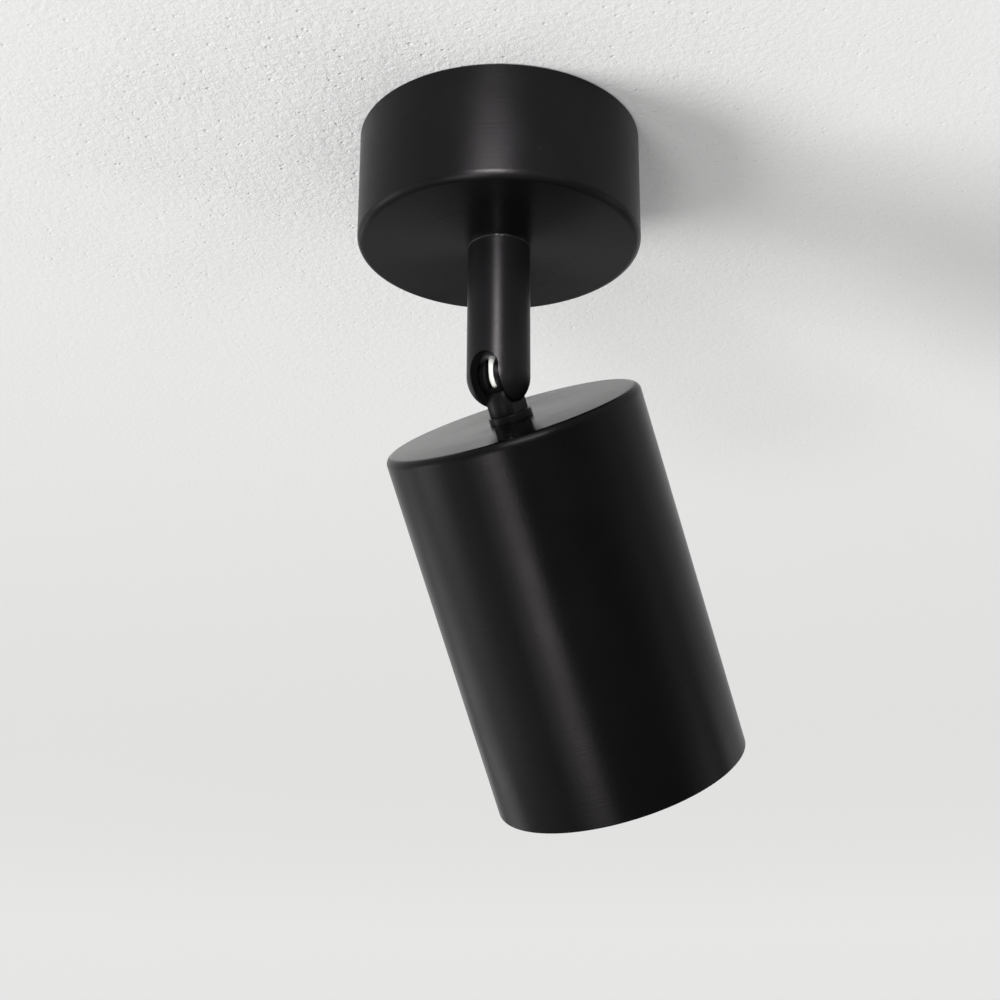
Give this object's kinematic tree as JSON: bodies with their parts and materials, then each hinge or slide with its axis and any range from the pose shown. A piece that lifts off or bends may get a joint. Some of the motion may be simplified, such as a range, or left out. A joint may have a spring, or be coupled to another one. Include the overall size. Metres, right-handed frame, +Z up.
{
  "type": "ceiling spotlight",
  "caption": "Black ceiling spotlight: round canopy, short stem with a ball swivel and a leaning cylindrical shade with a reflector lamp.",
  "frame": {"origin": "centre of the ceiling face, midway between the two ceiling slots of the bracket", "axes": "+Z up into the ceiling; +X along the bracket, from slot to slot; the picture looks roughly along +Y and upwards"},
  "size_m": [0.1229, 0.1485, 0.2172],
  "materials": {
    "black_coat": "satin black paint on turned or spun metal",
    "black_neck": "semi-gloss black",
    "black_screw": "blackened",
    "zinc_steel": "zinc plated",
    "tinned": "tinned",
    "spring_steel": "oiled",
    "brass": "turned",
    "connector_body": "matt",
    "bush": "matt",
    "core_live": "satin",
    "core_neutral": "satin",
    "core_earth": "satin",
    "sleeve": "satin white",
    "ceramic": "unglazed",
    "lamp_plastic": "satin white",
    "pin_metal": "plated",
    "lamp_shell": "satin",
    "lamp_board": "matt",
    "lamp_glass": "clear"
  },
  "bodies": {
    "root": {"ceiling_bracket": "zinc_steel", "bracket_nuts": "zinc_steel", "canopy": "black_coat", "canopy_screws": "black_screw", "stop_pin": "zinc_steel", "terminal_block": "connector_body", "terminal_tubes": "brass", "terminal_screws": "zinc_steel", "block_screws": "zinc_steel", "earth_screw": "brass", "earth_tag": "tinned", "earth_link": "core_earth", "live_lead": "core_live", "neutral_lead": "core_neutral", "earth_lead": "core_earth"},
    "stem": {"swivel_washer": "zinc_steel", "stem_tube": "black_coat", "stem_plug": "brass", "spacer_tube": "zinc_steel", "disc_springs": "spring_steel", "pressure_ring": "spring_steel", "wave_washer": "zinc_steel", "stop_washer": "zinc_steel", "stem_nut": "brass", "nipple_bush": "bush", "stem_sleeve": "sleeve"},
    "head": {"joint_sleeve": "sleeve", "neck_sleeve": "sleeve", "ball_neck": "black_neck", "neck_collar": "black_neck", "shade": "black_coat", "lock_washer": "zinc_steel", "shade_nut": "brass", "stud_bush": "bush", "holder_bracket": "zinc_steel", "holder_screws": "zinc_steel", "lampholder": "ceramic", "holder_contacts": "brass", "live_tail": "core_live", "neutral_tail": "core_neutral", "earth_tail": "core_earth", "shade_earth_tag": "tinned", "shade_earth_screw": "brass"},
    "lamp": {"lamp_cap": "lamp_plastic", "lamp_pins": "pin_metal", "lamp_body": "lamp_shell", "lamp_board": "lamp_board", "lamp_lens": "lamp_glass"}
  },
  "joints": [
    {"name": "stem_pan", "type": "hinge", "parent": "root", "child": "stem", "pos_m": [0, 0, -0.0385], "axis": [0, 0, 1], "range_deg": [-165, 165]},
    {"name": "head_tilt", "type": "hinge", "parent": "stem", "child": "head", "pos_m": [0, 0, -0.08325], "axis": [0.8704, -0.4924, 0], "range_deg": [-100.3, 29.7], "deforming": ["joint_sleeve"]},
    {"name": "lamp_twist", "type": "hinge", "parent": "head", "child": "lamp", "pos_m": [0, 0, -0.08325], "axis": [-0.2846, -0.5029, 0.8161], "range_deg": [0, 20]}
  ]
}
